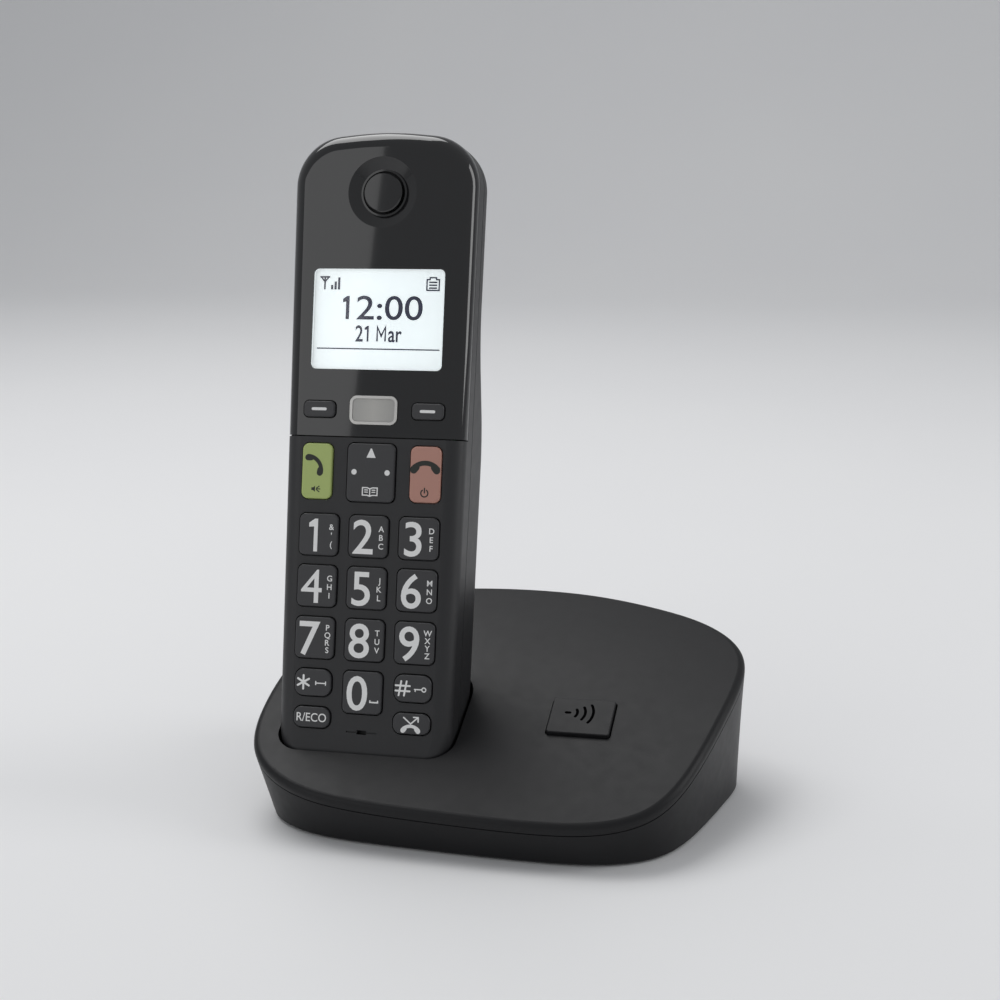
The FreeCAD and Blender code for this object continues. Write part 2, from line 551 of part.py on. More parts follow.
RISE = "(rim_back - rim_front)"
CHORD = "hypot(base_depth; %s)" % RISE
CROWN_DROP = "sqrt(crown_radius ^ 2 - (%s) ^ 2 / 4)" % CHORD
CROWN_Y = "(%s / %s * %s)" % (RISE, CHORD, CROWN_DROP)
CROWN_Z = "((rim_front + rim_back) / 2 - base_depth / %s * %s)" % (CHORD, CROWN_DROP)
crown_y, crown_z = value(CROWN_Y), value(CROWN_Z)

# The rim seen from above, as shares of half the width and half the depth, from the left side clockwise.
RIM = ((-0.994, -0.292), (-0.976, 0.04), (-0.913, 0.35), (-0.78, 0.67), (-0.562, 0.90), (-0.309, 0.98), (0.0, 1.0),
       (0.301, 0.963), (0.60, 0.85), (0.86, 0.67), (0.997, 0.41), (0.983, 0.08), (0.901, -0.384), (0.769, -0.778),
       (0.59, -0.95), (0.311, -1.0), (-0.078, -0.985), (-0.458, -0.95), (-0.738, -0.864), (-0.941, -0.626))


def crown_height(y):
    """Height of the crowned top over a line across the base."""
    return crown_z + math.sqrt(SIZES["crown_radius"] ** 2 - (y - crown_y) ** 2)


def base_outline(name, height, inset):
    """The base's wall line at a height, moved inwards by inset; the wall flares out by a share on each side."""
    half_width, half_depth = SIZES["base_width"] / 2, SIZES["base_depth"] / 2
    rim = [(u * half_width, v * half_depth) for u, v in RIM]
    points = []
    for i, (x, y) in enumerate(rim):
        (ax, ay), (bx, by) = rim[i - 1], rim[(i + 1) % len(rim)]
        span = math.hypot(bx - ax, by - ay)
        nx, ny = (ay - by) / span, (bx - ax) / span
        flare = SIZES["flare_right" if nx > 0 else "flare_left"] * nx * nx
        flare += SIZES["flare_back" if ny > 0 else "flare_front"] * ny * ny
        move = flare * (height - crown_height(y)) - inset
        points.append(FreeCAD.Vector(x + nx * move, y + ny * move, height))
    curve = Part.BSplineCurve()
    curve.interpolate(Points=points, PeriodicFlag=True)
    return wire(name, Part.Wire([curve.toShape()]))


def wall_loft(name, *levels):
    """A solid through the wall's line at each (height, inset)."""
    loft = doc.addObject("Part::Loft", name)
    loft.Sections = [base_outline("%s_line_%d" % (name, i), *level) for i, level in enumerate(levels)]
    loft.Solid = True
    loft.Ruled = True
    return loft


def crown(name, below):
    """Everything under the crowned top, lowered by a formula."""
    return rod(name, "crown_radius - (%s)" % below, "base_width * 2", "-base_width", CROWN_Y, CROWN_Z, ALONG_X)


ABOVE = SIZES["rim_back"] + 8
foot_low = SIZES["floor_low"]
walls = wall_loft("base_walls", (foot_low, SIZES["base_round"]), (foot_low + SIZES["base_round"], 0.0), (ABOVE, 0.0))
crowned = common("base_crowned", walls, crown("crown_top", "0"))
hollow = wall_loft("base_hollow", (foot_low + SIZES["floor_thick"], SIZES["base_wall"]), (ABOVE, SIZES["base_wall"]))


def rim_radius(edge):
    """The rim is the only edge that runs round the base and isn't level."""
    return SIZES["rim_round"] if edge.Length > SIZES["base_width"] and edge.BoundBox.ZLength > 1e-3 else 0


# ---------------------------------------------------------------- base lid with the pocket

POSTS = {"right": ("base_width / 2 - 14", "base_depth / 2 - 28"),
         "front": ("base_width / 2 - 21", "-base_depth / 2 + 19.5"),
         "middle": ("handset_x + handset_width / 2 + 8.5", "-base_depth / 2 + 18.5"),
         "left": ("-base_width / 2 + 24", "base_depth / 2 - 29")}
POST_FOOT = "floor_low + floor_thick + 3"
pocket = handset_form("pocket_form", -SIZES["pocket_gap"])
pocket.setExpression("Placement", linked(SEAT))
cup = handset_form("cup_form", -SIZES["pocket_gap"] - SIZES["pocket_wall"])
cup.setExpression("Placement", linked(SEAT))
lid_plate = cut("lid_plate", rounded("lid_form", crowned, rim_radius), crown("crown_under", "lid_thick"))
CUP_INSET = SIZES["base_wall"] + SIZES["seam_gap"]
cup_room = wall_loft("cup_room", (foot_low, CUP_INSET), (ABOVE, CUP_INSET))
cup_wall = common("cup_wall", common("cup_under", cup, crown("crown_middle", "lid_thick / 2")), cup_room)
posts = fuse("lid_posts", *[rod("lid_post_" + name, "base_post_radius", "60", x, y, POST_FOOT)
                            for name, (x, y) in POSTS.items()])
posts_cut = common("lid_posts_cut", posts, crown("crown_posts", "lid_thick / 2"))
lid_whole = fuse("lid_whole", lid_plate, cup_wall, posts_cut)

PAGE_TILT = "asin((%s - page_y) / crown_radius)" % CROWN_Y
PAGE_Z = "(%s + sqrt(crown_radius ^ 2 - (%s - page_y) ^ 2))" % (CROWN_Z, CROWN_Y)
PAGE_PLACE = "placement(vector(page_x; page_y; %s); rotation(vector(1; 0; 0); %s))" % (PAGE_Z, PAGE_TILT)


def page_block(name, grow, low, high):
    """An upright block under the locator button's outline, in the button's own frame."""
    block = box(name + "_block", ("-page_width / 2 - " + grow, "-page_depth / 2 - " + grow, low),
                ("page_width / 2 + " + grow, "page_depth / 2 + " + grow, high))
    radius = value("page_corner + " + grow)
    return rounded(name, block, lambda edge: radius if runs_along(edge, 2) else 0)


page_hole = page_block("page_hole", "page_gap", "-lid_thick - 2", "5")
page_hole.setExpression("Placement", linked(PAGE_PLACE))
post_bores = fuse("lid_bores", *[rod("lid_bore_" + name, "base_screw_radius + pin_play", "base_screw_length", x, y,
                                 POST_FOOT + " - 1")
                                 for name, (x, y) in POSTS.items()])
contact_slots = [box("contact_slot_" + side, (sign + "pad_x - contact_width / 2 - contact_gap", "contact_front - contact_gap", "-8"),
                     (sign + "pad_x + contact_width / 2 + contact_gap", "contact_front + contact_depth + contact_gap", "4"))
                 for side, sign in (("left", "-"), ("right", ""))]
slots = fuse("contact_slots", *contact_slots)
slots.setExpression("Placement", linked(SEAT))
node("base_top", cut("base_top", lid_whole, pocket, page_hole, post_bores, slots), seated=False)

# ---------------------------------------------------------------- locator button

page_column = page_block("page_column", "0", "-lid_thick - flange_gap", "page_rise")
doc.recompute()
page_top = SIZES["page_rise"] - 1e-4
page_cap = rounded("page_cap", page_column, lambda edge: SIZES["page_round"] if edge.BoundBox.ZMin > page_top else 0)
page_lip = page_block("page_lip", "1", "-lid_thick - flange_gap - 1", "-lid_thick - flange_gap")
page_stem = rod("page_stem", "2", "page_stem_length - lid_thick - flange_gap", "0", "0", "-page_stem_length")
page_button = node("page_button", fuse("page_button", page_cap, page_lip, page_stem), seated=False)
page_button.setExpression("Placement", linked(PAGE_PLACE))

# ---------------------------------------------------------------- charging contacts

LIP_TOP = "(-pocket_gap - pocket_wall - contact_gap)"
for side, sign in (("left", "-"), ("right", "")):
    blade = box("blade_" + side, (sign + "pad_x - contact_width / 2", "contact_front", LIP_TOP + " - 0.1"),
                (sign + "pad_x + contact_width / 2", "contact_front + contact_depth", "contact_tip"))
    lip = box("blade_lip_" + side, (sign + "pad_x - contact_width / 2 - 1.2", "contact_front - 1", LIP_TOP + " - 0.6"),
              (sign + "pad_x + contact_width / 2 + 1.2", "contact_front + contact_depth + 0.1", LIP_TOP))
    node("charge_contact_" + side, fuse("charge_contact_" + side, blade, lip))

# ---------------------------------------------------------------- base tub

FEET = {"front_left": ("-base_width / 2 + 28", "-base_depth / 2 + 24"),
        "front_right": ("base_width / 2 - 34", "-base_depth / 2 + 16"),
        "back_right": ("base_width / 2 - 20", "base_depth / 2 - 17"), "back_left": ("-base_width / 2 + 31", "base_depth / 2 - 16")}
tub_form = common("tub_form", crowned, crown("crown_tub", "lid_thick + seam_gap"))
tub_shell = cut("tub_shell", tub_form, hollow)
tub_cups = [rod("tub_cup_" + name, "base_post_radius + 1", "3.4", x, y, "floor_low + 1") for name, (x, y) in POSTS.items()]
BOARD_LOW = ("base_board_x", "base_board_y", "base_board_z")
BOARD_HIGH = ("base_width / 2 - base_board_margin", "base_depth / 2 - base_board_back", "base_board_z + base_board_thick")
STANDS = [(x, y) for y in (BOARD_LOW[1] + " + 4", BOARD_HIGH[1] + " - 4")
          for x in (BOARD_LOW[0] + " + 4", BOARD_HIGH[0] + " - 4")]
stands = [rod("board_stand_%d" % i, "2.4", "base_board_z - floor_low - 1", x, y, "floor_low + 1")
          for i, (x, y) in enumerate(STANDS)]
tub_whole = fuse("tub_whole", tub_shell, *tub_cups, *stands)
sinks = [rod("tub_sink_" + name, "base_head_radius + 0.2", "3.6", x, y, "0") for name, (x, y) in POSTS.items()]
tub_bores = [rod("tub_bore_" + name, "base_screw_radius + 0.3", "12", x, y, "0") for name, (x, y) in POSTS.items()]
foot_seats = [rod("foot_seat_" + name, "foot_radius + fit_gap", "floor_low + foot_recess", x, y, "0")
              for name, (x, y) in FEET.items()]
JACK_LOW = "base_board_z + base_board_thick"


def jack_box(name, x, width, height, face, length, grow):
    return box(name, ("%s - %s / 2 - %s" % (x, width, grow), "%s - %s" % (face, length), JACK_LOW + " - " + grow),
               ("%s + %s / 2 + %s" % (x, width, grow), face, "%s + %s + %s" % (JACK_LOW, height, grow)))


SOCKET_FACE = "(base_depth / 2 - socket_set)"
INLET_FACE = "(base_depth / 2 - inlet_set)"
jack_windows = [jack_box("socket_window", "socket_x", "socket_width", "socket_height", "(base_depth / 2 + 5)", "14", "fit_gap"),
                jack_box("inlet_window", "inlet_x", "inlet_width", "inlet_height", "(base_depth / 2 + 5)", "17", "fit_gap")]
tub_cuts = fuse("tub_cuts", *sinks, *foot_seats)
tub_holes = fuse("tub_holes", *tub_bores)
tub_windows = fuse("tub_windows", *jack_windows)
node("base_bottom", cut("base_bottom", tub_whole, tub_cuts, tub_holes, tub_windows), seated=False)

FOOT = [("0", "0"), ("foot_radius - 0.4", "0"), ("foot_radius", "0.4"), ("foot_radius", "floor_low + foot_recess"),
        ("0", "floor_low + foot_recess")]
node("rubber_feet", *[turned("foot_" + name, FOOT, None, x, y, "0") for name, (x, y) in FEET.items()], seated=False)
BASE_SCREW = [("0", "-base_screw_length"), ("base_screw_radius", "-base_screw_length"), ("base_screw_radius", "0"),
              ("base_head_radius", "0"), ("base_head_radius", "1.8"), ("0.9", "1.8"), ("0.9", "0.8"), ("0", "0.8")]
node("base_screws", *[turned("base_screw_" + name, BASE_SCREW, HEAD_DOWN, x, y, "3.6") for name, (x, y) in POSTS.items()],
     seated=False)

# ---------------------------------------------------------------- base board and jacks

base_plate = box("base_plate", BOARD_LOW, BOARD_HIGH)
base_chips = [box("base_chip_%d" % i, ("base_board_x + " + x, "base_board_y + " + y, JACK_LOW + " - 0.1"),
                  ("base_board_x + %s + %s" % (x, wide), "base_board_y + %s + %s" % (y, deep), JACK_LOW + " + " + tall))
              for i, (x, y, wide, deep, tall) in enumerate((
                  ("4", "22", "10", "10", "1.6"), ("3", "11", "6", "5", "1.4"), ("27", "25", "8", "8", "5"), ("17", "24", "5", "4", "2")))]
node("base_board", fuse("base_board", base_plate, *base_chips), seated=False)
socket_block = jack_box("socket_block", "socket_x", "socket_width", "socket_height", SOCKET_FACE, "socket_length", "0")
MOUTH_Z = JACK_LOW + " + (socket_height - mouth_height) / 2"
socket_mouth = box("socket_mouth", ("socket_x - mouth_width / 2", SOCKET_FACE + " - mouth_depth", MOUTH_Z),
                   ("socket_x + mouth_width / 2", SOCKET_FACE + " + 2", MOUTH_Z + " + mouth_height"))
socket_latch = box("socket_latch", ("socket_x - 1.7", SOCKET_FACE + " - mouth_depth + 2", MOUTH_Z + " - 1.6"),
                   ("socket_x + 1.7", SOCKET_FACE + " + 2", MOUTH_Z + " + 1"))
node("line_socket", cut("line_socket", socket_block, socket_mouth, socket_latch), seated=False)
inlet_block = jack_box("inlet_block", "inlet_x", "inlet_width", "inlet_height", INLET_FACE, "inlet_length", "0")
inlet_bore = rod("inlet_bore", "inlet_hole_radius", "inlet_bore_depth + 2", "inlet_x", INLET_FACE + " - inlet_bore_depth",
                 JACK_LOW + " + inlet_height / 2", ALONG_Y)
inlet_pin = rod("inlet_pin", "inlet_pin_radius", "inlet_bore_depth - 0.5", "inlet_x", INLET_FACE + " - inlet_bore_depth - 0.1",
                JACK_LOW + " + inlet_height / 2", ALONG_Y)
node("dc_inlet", fuse("dc_inlet", cut("inlet_shell", inlet_block, inlet_bore), inlet_pin), seated=False)
SWITCH_Y = "(page_y + page_stem_length * sin(%s))" % PAGE_TILT
switch_case = box("switch_case", ("page_x - 3", SWITCH_Y + " - 3", JACK_LOW), ("page_x + 3", SWITCH_Y + " + 3", JACK_LOW + " + 3.5"))
switch_key = rod("switch_key", "1.7", "switch_height - 3.4", "page_x", SWITCH_Y, JACK_LOW + " + 3.4")
node("page_switch", fuse("page_switch", switch_case, switch_key), seated=False)
antenna_leg = box("antenna_leg", ("base_board_x + 12", "base_board_y + 2", JACK_LOW), ("base_board_x + 14", "base_board_y + 2.6", JACK_LOW + " + 5"))
antenna_arm = box("antenna_arm", ("base_board_x + 2", "base_board_y + 2", JACK_LOW + " + 4"),
                  ("base_board_x + 14", "base_board_y + 2.6", JACK_LOW + " + 6"))
node("base_antenna", fuse("base_antenna", antenna_leg, antenna_arm), seated=False)

# ---------------------------------------------------------------- checks and files

probe = doc.getObject("formula_probe")
doc.removeObject(probe.Name)
doc.recompute()
for feature in doc.Objects:
    bad = [state for state in feature.State if state in ("Invalid", "Error")]
    if bad:
        raise RuntimeError("%s is %s" % (feature.Name, bad))
for feature in nodes:
    if feature.Shape.isNull() or not feature.Shape.isValid():
        raise RuntimeError("%s has no valid shape" % feature.Label)
os.makedirs("parts", exist_ok=True)
for feature in nodes:
    feature.Shape.exportStep("parts/%s.step" % feature.Label)
    print("%-22s %2d solids %10.1f mm3" % (feature.Label, len(feature.Shape.Solids), feature.Shape.Volume))
print("%d sub-parts" % len(nodes))
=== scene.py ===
"""A cordless telephone standing in its charging base: finishes, printed marks, display, light and camera."""
import json
import math

import bmesh
import bpy
from mathutils import Matrix, Vector


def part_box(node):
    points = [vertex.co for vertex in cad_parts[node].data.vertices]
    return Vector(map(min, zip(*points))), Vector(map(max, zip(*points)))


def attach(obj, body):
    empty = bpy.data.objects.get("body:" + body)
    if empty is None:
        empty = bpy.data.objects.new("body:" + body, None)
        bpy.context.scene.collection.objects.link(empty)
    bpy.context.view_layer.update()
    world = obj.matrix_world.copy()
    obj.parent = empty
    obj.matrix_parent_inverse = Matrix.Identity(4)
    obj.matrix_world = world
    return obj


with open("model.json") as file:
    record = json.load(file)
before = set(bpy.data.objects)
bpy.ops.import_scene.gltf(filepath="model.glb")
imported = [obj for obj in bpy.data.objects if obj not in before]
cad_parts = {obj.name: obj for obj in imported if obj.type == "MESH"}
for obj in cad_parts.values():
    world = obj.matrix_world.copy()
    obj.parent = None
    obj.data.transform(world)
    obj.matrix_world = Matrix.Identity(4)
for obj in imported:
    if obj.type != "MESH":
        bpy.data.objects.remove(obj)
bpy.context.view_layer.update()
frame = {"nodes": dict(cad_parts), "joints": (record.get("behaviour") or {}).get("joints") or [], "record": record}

MM = 0.001
NODES = frame["nodes"]
JOINTS = {joint["name"]: joint for joint in frame["joints"]}
RIGHT = Vector((1, 0, 0))
ALONG = Vector(JOINTS["handset_lift"]["axis"])      # from the handset's foot to its ear end
PRESS = Vector(JOINTS["key_1_press"]["axis"])       # from the handset's face into it
PAGE_PRESS = Vector(JOINTS["page_press"]["axis"])


# ---------------------------------------------------------------- shader sums

class Value:
    """A shader value; an operator on it adds the Math node that works it out."""

    def __init__(self, graph, socket):
        self.graph = graph
        self.socket = socket

    def __add__(self, other):
        return self.graph.math("ADD", self, other)

    def __sub__(self, other):
        return self.graph.math("SUBTRACT", self, other)

    def __rsub__(self, other):
        return self.graph.math("SUBTRACT", other, self)

    def __mul__(self, other):
        return self.graph.math("MULTIPLY", self, other)

    def __gt__(self, other):
        return self.graph.math("GREATER_THAN", self, other)

    def __lt__(self, other):
        return self.graph.math("LESS_THAN", self, other)

    __radd__ = __add__
    __rmul__ = __mul__


class Graph:
    """The node tree of one material."""

    def __init__(self, name):
        self.material = bpy.data.materials.new(name)
        self.material.use_nodes = True
        self.tree = self.material.node_tree
        self.tree.nodes.clear()
        self.place = self.node("ShaderNodeTexCoord", output="Object")

    def node(self, kind, settings=None, inputs=None, output=0):
        """Add a node, set its settings first and then its sockets, and give one of its outputs."""
        made = self.tree.nodes.new(kind)
        for key, value in (settings or {}).items():
            if key == "stops":
                self.set_stops(made.color_ramp, value)
            else:
                setattr(made, key, value)
        for key, value in (inputs or {}).items():
            if isinstance(value, Value):
                self.tree.links.new(value.socket, made.inputs[key])
            else:
                made.inputs[key].default_value = value
        return Value(self, made.outputs[output]) if len(made.outputs) else made

    @staticmethod
    def set_stops(ramp, stops):
        while len(ramp.elements) < len(stops):
            ramp.elements.new(1.0)
        for element, (place, colour) in zip(ramp.elements, stops):
            element.position = place
            element.color = (*colour, 1)

    def math(self, operation, first, second):
        return self.node("ShaderNodeMath", {"operation": operation}, {0: first, 1: second})

    def dot(self, direction, origin=(0, 0, 0)):
        """Distance along a direction from a point, in metres."""
        offset = self.node("ShaderNodeVectorMath", {"operation": "SUBTRACT"}, {0: self.place, 1: tuple(origin)})
        return self.node("ShaderNodeVectorMath", {"operation": "DOT_PRODUCT"},
                         {0: offset, 1: tuple(direction)}, "Value")

    def noise(self, grain, detail=2.0, stretch=(1, 1, 1)):
        """Noise whose lumps are about grain millimetres across."""
        mapped = self.node("ShaderNodeMapping", {}, {"Vector": self.place, "Scale": stretch})
        return self.node("ShaderNodeTexNoise", {}, {"Vector": mapped, "Scale": 1 / (grain * MM), "Detail": detail})

    def mix(self, factor, first, second):
        """A colour between two colours."""
        def colour(value):
            return value if isinstance(value, Value) else (*value, 1)
        return self.node("ShaderNodeMix", {"data_type": "RGBA"}, {0: factor, 6: colour(first), 7: colour(second)}, 2)

    def bump(self, height, relief, under=None):
        """A normal from a height between 0 and 1 that stands for relief millimetres."""
        inputs = {"Height": height, "Distance": relief * MM}
        if under is not None:
            inputs["Normal"] = under
        return self.node("ShaderNodeBump", {}, inputs)

    def finish(self, **inputs):
        """End the tree in a Principled shader with these sockets; colours are given as three numbers."""
        named = {}
        for key, value in inputs.items():
            if isinstance(value, tuple) and len(value) == 3:
                value = (*value, 1)
            named[key.replace("_", " ")] = value
        shader = self.node("ShaderNodeBsdfPrincipled", {}, named)
        self.node("ShaderNodeOutputMaterial", {}, {"Surface": shader})
        return self.material


# ---------------------------------------------------------------- finishes

def moulded_plastic(name, colour, roughness, grain=0.32, relief=0.006, tone=0.10, shine=0.5):
    """Moulded plastic with a fine spark-eroded grain and faint flow marks."""
    graph = Graph(name)
    fine = graph.noise(grain, 3.0)
    coarse = graph.noise(grain * 9, 2.0)
    flow = graph.noise(26.0, 3.0, (1, 1, 0.35))
    dark = tuple(c * (1 - tone) for c in colour)
    pale = tuple(min(1.0, c * (1 + tone)) for c in colour)
    base = graph.mix(flow * 0.7 + fine * 0.3, dark, pale)
    rough = roughness + (coarse - 0.5) * 0.10 + (flow - 0.5) * 0.08
    normal = graph.bump(coarse, relief * 1.5, graph.bump(fine, relief))
    return graph.finish(Base_Color=base, Roughness=rough, Normal=normal, Specular_IOR_Level=shine)


def piano_gloss(name, colour):
    """Polished black plastic with a slight ripple and a few hairline wipes under a clear coat."""
    graph = Graph(name)
    ripple = graph.noise(11.0, 1.0)
    wipes = graph.noise(2.2, 4.0, (6, 1, 0.25))
    smear = graph.noise(20.0, 4.0)
    rough = 0.028 + (wipes > 0.66) * 0.02 + smear * 0.02
    return graph.finish(Base_Color=graph.mix(smear, colour, tuple(c * 1.25 for c in colour)), Roughness=rough,
                        Normal=graph.bump(ripple, 0.004), Coat_Weight=0.35, Coat_Roughness=0.02)


def worn_metal(name, colour, roughness, stretch=(1, 1, 8)):
    """Plated metal with fine drawn scratches."""
    graph = Graph(name)
    lines = graph.noise(0.5, 4.0, stretch)
    cloud = graph.noise(4.0, 3.0)
    base = graph.mix(cloud, tuple(c * 0.85 for c in colour), colour)
    return graph.finish(Base_Color=base, Metallic=1.0, Roughness=roughness + (lines - 0.5) * 0.2,
                        Normal=graph.bump(lines, 0.004))


def circuit_board(name):
    """Green solder mask with tracks under it and bright pads."""
    graph = Graph(name)
    tracks = graph.node("ShaderNodeTexVoronoi", {"distance": "CHEBYCHEV", "feature": "F1"},
                        {"Vector": graph.place, "Scale": 1 / (2.4 * MM)}, "Distance")
    line = (tracks > 0.42) * (tracks < 0.55)
    pad = tracks < 0.12
    mask = graph.mix(line, (0.010, 0.085, 0.030), (0.030, 0.19, 0.062))
    base = graph.mix(pad, mask, (0.62, 0.58, 0.46))
    return graph.finish(Base_Color=base, Metallic=pad, Roughness=0.32 + graph.noise(1.2) * 0.12,
                        Normal=graph.bump(line, 0.03))


def cell_sleeve(name):
    """A shrink sleeve in two colours, split part of the way along the cell."""
    graph = Graph(name)
    low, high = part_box("battery_cell_a")
    along = graph.dot(ALONG, (low + high) / 2)
    band = (along * 1000) > 9.0
    flow = graph.noise(3.0, 3.0)
    base = graph.mix(band, (0.020, 0.055, 0.11), (0.55, 0.55, 0.53))
    return graph.finish(Base_Color=base, Metallic=band * 0.6, Roughness=0.30 + flow * 0.15,
                        Normal=graph.bump(graph.noise(1.6, 2.0), 0.02))


def moulded_rubber(name, colour):
    graph = Graph(name)
    fine = graph.noise(0.22, 4.0)
    dust = graph.noise(7.0, 4.0)
    base = graph.mix(dust, colour, tuple(c * 1.6 + 0.01 for c in colour))
    return graph.finish(Base_Color=base, Roughness=0.72 + (fine - 0.5) * 0.2, Normal=graph.bump(fine, 0.02))


def lit_display(name):
    """The white field of a backlit display: a fine dot matrix, a little brighter at its middle."""
    graph = Graph(name)
    low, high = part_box("display_lens")
    middle = (low + high) / 2
    columns = graph.math("FRACT", graph.dot(RIGHT, middle) * (1 / (0.34 * MM)), 0.0)
    rows = graph.math("FRACT", graph.dot(ALONG, middle) * (1 / (0.34 * MM)), 0.0)
    gaps = graph.math("MAXIMUM", columns < 0.10, rows < 0.10)
    far = graph.math("ABSOLUTE", graph.dot(RIGHT, middle) * 30, 0.0)
    glow = 0.70 - far * 0.10
    field = graph.mix(gaps, (0.90, 0.94, 0.95), (0.80, 0.85, 0.87))
    shade = graph.node("ShaderNodeVectorMath", {"operation": "SCALE"}, {0: field, "Scale": glow})
    return graph.finish(Base_Color=field, Roughness=0.5, Emission_Color=shade, Emission_Strength=1.0)


def clear_window(name):
    """Clear acrylic: see-through, with the gloss of its front."""
    graph = Graph(name)
    through = graph.node("ShaderNodeBsdfTransparent", {}, {"Color": (0.97, 0.98, 0.98, 1)})
    rough = 0.05 + graph.noise(18.0) * 0.03
    gloss = graph.node("ShaderNodeBsdfGlossy", {}, {"Color": (1, 1, 1, 1), "Roughness": rough})
    share = graph.node("ShaderNodeFresnel", {}, {"IOR": 1.45})
    mixed = graph.node("ShaderNodeMixShader", {}, {0: share, 1: through, 2: gloss})
    graph.node("ShaderNodeOutputMaterial", {}, {"Surface": mixed})
    return graph.material


def printed_ink(name, colour, roughness=0.45, shine=0.5):
    graph = Graph(name)
    patch = graph.noise(0.5, 3.0)
    base = graph.mix(patch, tuple(c * 0.93 for c in colour), colour)
    return graph.finish(Base_Color=base, Roughness=roughness + patch * 0.1, Normal=graph.bump(patch, 0.004),
                        Specular_IOR_Level=shine)


def lamp_cover(name):
    """A frosted lamp cover: pale, a little brighter towards its middle."""
    graph = Graph(name)
    low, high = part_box("lamp_lens")
    middle = (low + high) / 2
    across = graph.math("ABSOLUTE", graph.dot(RIGHT, middle) * (2 / (high.x - low.x)), 0.0)
    frost = graph.noise(0.5, 3.0)
    base = graph.mix(across * 0.8 + frost * 0.2, (0.47, 0.46, 0.43), (0.35, 0.345, 0.33))
    return graph.finish(Base_Color=base, Roughness=0.28 + frost * 0.1, Normal=graph.bump(frost, 0.006),
                        Coat_Weight=0.5, Coat_Roughness=0.1)


def studio_floor(name):
    graph = Graph(name)
    base = graph.mix(graph.noise(300.0), (0.80, 0.80, 0.81), (0.84, 0.84, 0.84))
    return graph.finish(Base_Color=base, Roughness=0.75)


FINISHES = {
    "case_grey": moulded_plastic("case plastic", (0.0155, 0.0155, 0.017), 0.46),
    "cover_black": piano_gloss("cover gloss", (0.0062, 0.0062, 0.0068)),
    "key_grey": moulded_plastic("key plastic", (0.034, 0.034, 0.0365), 0.40, 0.26, 0.004),
    "key_green": moulded_plastic("talk key plastic", (0.40, 0.49, 0.16), 0.40, 0.26, 0.004, 0.05),
    "key_red": moulded_plastic("off key plastic", (0.46, 0.235, 0.185), 0.40, 0.26, 0.004, 0.05),
    "base_grey": moulded_plastic("base plastic", (0.0115, 0.0115, 0.0125), 0.42, 0.34, 0.006, shine=0.22),
    "window_clear": clear_window("window acrylic"),
    "display_white": lit_display("display field"),
    "lamp_pale": lamp_cover("lamp frosting"),
    "lamp_trim": worn_metal("lamp trim", (0.56, 0.55, 0.53), 0.32),
    "speaker_black": moulded_plastic("speaker plastic", (0.012, 0.012, 0.013), 0.6),
    "board_green": circuit_board("board mask"),
    "rubber_grey": moulded_rubber("keypad silicone", (0.09, 0.09, 0.09)),
    "spring_metal": worn_metal("spring steel", (0.62, 0.59, 0.53), 0.30),
    "pad_metal": worn_metal("contact plating", (0.78, 0.72, 0.60), 0.22, (8, 1, 1)),
    "cell_wrap": cell_sleeve("cell sleeve"),
    "screw_steel": worn_metal("screw zinc", (0.58, 0.58, 0.60), 0.34),
    "foot_rubber": moulded_rubber("foot rubber", (0.022, 0.022, 0.022)),
    "socket_black": moulded_plastic("socket plastic", (0.014, 0.014, 0.015), 0.5),
}
LEGEND_WHITE = printed_ink("legend white", (0.86, 0.86, 0.85))
LEGEND_DARK = printed_ink("legend dark", (0.014, 0.016, 0.012))
DISPLAY_INK = printed_ink("display ink", (0.016, 0.017, 0.075))
SIGN_DARK = printed_ink("sign dark", (0.002, 0.002, 0.0022), 0.7, 0.0)

for entry in frame["record"]["subparts"]:
    for holder in NODES[entry["node"]].material_slots:
        holder.material = FINISHES[entry["material_slot"]]


# ---------------------------------------------------------------- printed marks

INK = 0.02           # thickness of a print, mm
STEP = 0.0006        # each mark of a print stands this much above the one before, mm
ROUND_ENDS = 8       # sides of a stroke's round end


def face_matrix(node, right, up):
    """The middle of a node's outer face, with X to the right, Y up and Z out of it, from millimetres."""
    right, up = right.normalized(), up.normalized()
    out = right.cross(up)
    places = [v.co for v in NODES[node].data.vertices]
    spans = [[p.dot(direction) for p in places] for direction in (right, up, out)]
    middle = right * (min(spans[0]) + max(spans[0])) / 2 + up * (min(spans[1]) + max(spans[1])) / 2
    middle += out * max(spans[2])
    turn = Matrix((right, up, out)).transposed().to_4x4()
    return Matrix.Translation(middle) @ turn @ Matrix.Scale(MM, 4)


def text_mesh(words, weight, extrude):
    curve = bpy.data.curves.new("words", "FONT")
    curve.body = words
    curve.resolution_u = 5
    curve.offset = weight
    curve.extrude = extrude
    holder = bpy.data.objects.new("words", curve)
    bpy.context.scene.collection.objects.link(holder)
    mesh = bpy.data.meshes.new_from_object(holder.evaluated_get(bpy.context.evaluated_depsgraph_get()))
    bpy.data.objects.remove(holder)
    bpy.data.curves.remove(curve)
    return mesh


CAPITAL = max(v.co.y for v in text_mesh("H", 0.0, 0.0).vertices)


